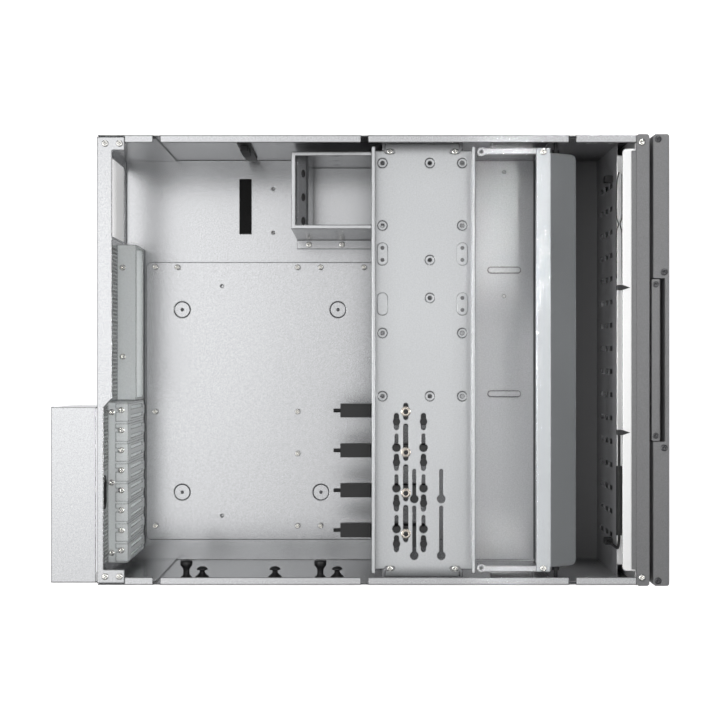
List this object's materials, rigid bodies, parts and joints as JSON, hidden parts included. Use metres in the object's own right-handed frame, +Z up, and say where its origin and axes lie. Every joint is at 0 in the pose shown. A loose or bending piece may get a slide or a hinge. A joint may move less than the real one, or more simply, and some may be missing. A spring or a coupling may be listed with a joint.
{
  "type": "rackmount server case",
  "caption": "Empty rackmount computer case of folded zinc-coated sheet, open at the top, with a hinged mesh door, a cross bridge with sliding card holders, a drive cage and a rear hood.",
  "frame": {"origin": "centre of the overall box at its underside", "axes": "+X across the case to the power-supply side, +Y to the rear, +Z up; the door faces -Y"},
  "size_m": [0.442, 0.605, 0.177],
  "materials": {
    "zinc_sheet": "zinc-coated sheet steel, satin with a fine rolled grain",
    "cover_sheet": "zinc-coated sheet steel, satin",
    "black_paint": "black powder coat with a fine texture",
    "front_moulding": "dark grey moulding with a fine texture",
    "mesh_paint": "black powder coat, matte",
    "black_plastic": "black moulded plastic, semi-matte",
    "black_rubber": "black rubber, matte",
    "foam": "black closed-cell foam, matte",
    "nickel": "nickel-plated steel, semi-bright"
  },
  "bodies": {
    "case": {"base_pan": "zinc_sheet", "rear_panel": "zinc_sheet", "io_frame": "zinc_sheet", "slot_frame": "zinc_sheet", "motherboard_tray": "zinc_sheet", "drive_cage": "zinc_sheet", "bridge_ledge_left": "zinc_sheet", "bridge_ledge_right": "zinc_sheet", "bridge_tray": "zinc_sheet", "fan_bracket": "zinc_sheet", "bracket_arm_left": "zinc_sheet", "bracket_arm_right": "zinc_sheet", "front_wall": "zinc_sheet", "front_ledge": "zinc_sheet", "rear_hood": "zinc_sheet", "slot_cover_1": "cover_sheet", "slot_cover_2": "cover_sheet", "slot_cover_3": "cover_sheet", "slot_cover_4": "cover_sheet", "slot_cover_5": "cover_sheet", "slot_cover_6": "cover_sheet", "slot_cover_7": "cover_sheet", "slot_cover_8": "cover_sheet", "front_tray": "black_paint", "front_frame": "front_moulding", "hinge_arm_lower": "mesh_paint", "hinge_arm_upper": "mesh_paint", "power_clip": "black_plastic", "wall_posts": "black_plastic", "wall_buttons": "black_plastic", "cable_clip_left": "black_plastic", "cable_clip_right": "black_plastic", "cable_boots": "black_plastic", "apron_pins": "black_plastic", "cable_grommet": "black_rubber", "panel_cable_left": "black_rubber", "panel_cable_right": "black_rubber", "cable_sleeve": "black_rubber", "power_pad": "foam", "case_screws": "nickel", "slot_screws": "nickel", "board_standoffs": "nickel"},
    "door": {"door": "front_moulding", "door_mesh": "mesh_paint", "door_handle": "front_moulding", "door_screws": "nickel", "hinge_pin_lower": "nickel", "hinge_pin_upper": "nickel"},
    "holder_1": {"card_holder_1": "black_plastic", "holder_nut_1": "nickel"},
    "holder_2": {"card_holder_2": "black_plastic", "holder_nut_2": "nickel"},
    "holder_3": {"card_holder_3": "black_plastic", "holder_nut_3": "nickel"},
    "holder_4": {"card_holder_4": "black_plastic", "holder_nut_4": "nickel"}
  },
  "joints": [
    {"name": "door_swing", "type": "hinge", "parent": "case", "child": "door", "pos_m": [-0.214, -0.2945, 0.0885], "axis": [0, 0, -1], "range_deg": [0, 90]},
    {"name": "holder_1_slide", "type": "slide", "parent": "case", "child": "holder_1", "axis": [1, 0, 0], "range_m": [-0.006, 0.006]},
    {"name": "holder_2_slide", "type": "slide", "parent": "case", "child": "holder_2", "axis": [1, 0, 0], "range_m": [-0.006, 0.006]},
    {"name": "holder_3_slide", "type": "slide", "parent": "case", "child": "holder_3", "axis": [1, 0, 0], "range_m": [-0.006, 0.006]},
    {"name": "holder_4_slide", "type": "slide", "parent": "case", "child": "holder_4", "axis": [1, 0, 0], "range_m": [-0.006, 0.006]}
  ]
}
